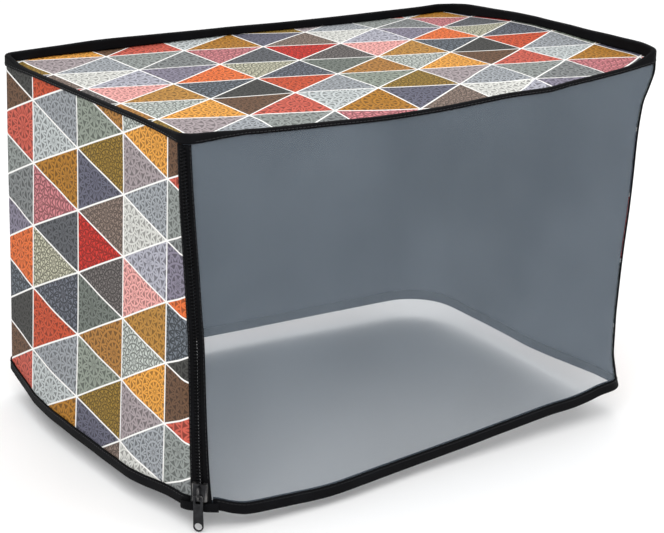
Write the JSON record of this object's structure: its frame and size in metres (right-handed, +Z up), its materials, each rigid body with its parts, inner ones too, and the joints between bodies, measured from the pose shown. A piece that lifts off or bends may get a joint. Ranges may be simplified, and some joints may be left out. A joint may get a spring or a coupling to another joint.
{
  "type": "printer cover",
  "caption": "Fitted dust cover for a desktop printer: printed cloth top, sides and back, a clear front window, bound seams and hem, and a zip down the front left corner.",
  "frame": {"origin": "middle of the underside of the top cloth, where the cover bears on the machine's lid", "axes": "+X along the width towards the plain front corner, away from the zip; -Y out of the clear front window; +Z up"},
  "size_m": [0.4678, 0.3524, 0.3263],
  "materials": {
    "printed_cloth": "printed triangle patchwork in rust, ochre, slate and grey with white lines; dark grey coated reverse",
    "clear_film": "clear soft film with a slight sheen",
    "black_tape": "black woven tape, matt",
    "black_zip_metal": "black lacquer, half gloss"
  },
  "bodies": {
    "root": {"top_panel": "printed_cloth", "skirt": "printed_cloth", "window": "clear_film", "top_binding": "black_tape", "hem_binding": "black_tape", "hem_tab": "black_tape", "side_binding": "black_tape", "zip_tape_skirt": "black_tape", "zip_tape_window": "black_tape", "zip_coil": "black_tape", "zip_slider": "black_zip_metal", "zip_pull": "black_zip_metal"}
  },
  "joints": []
}
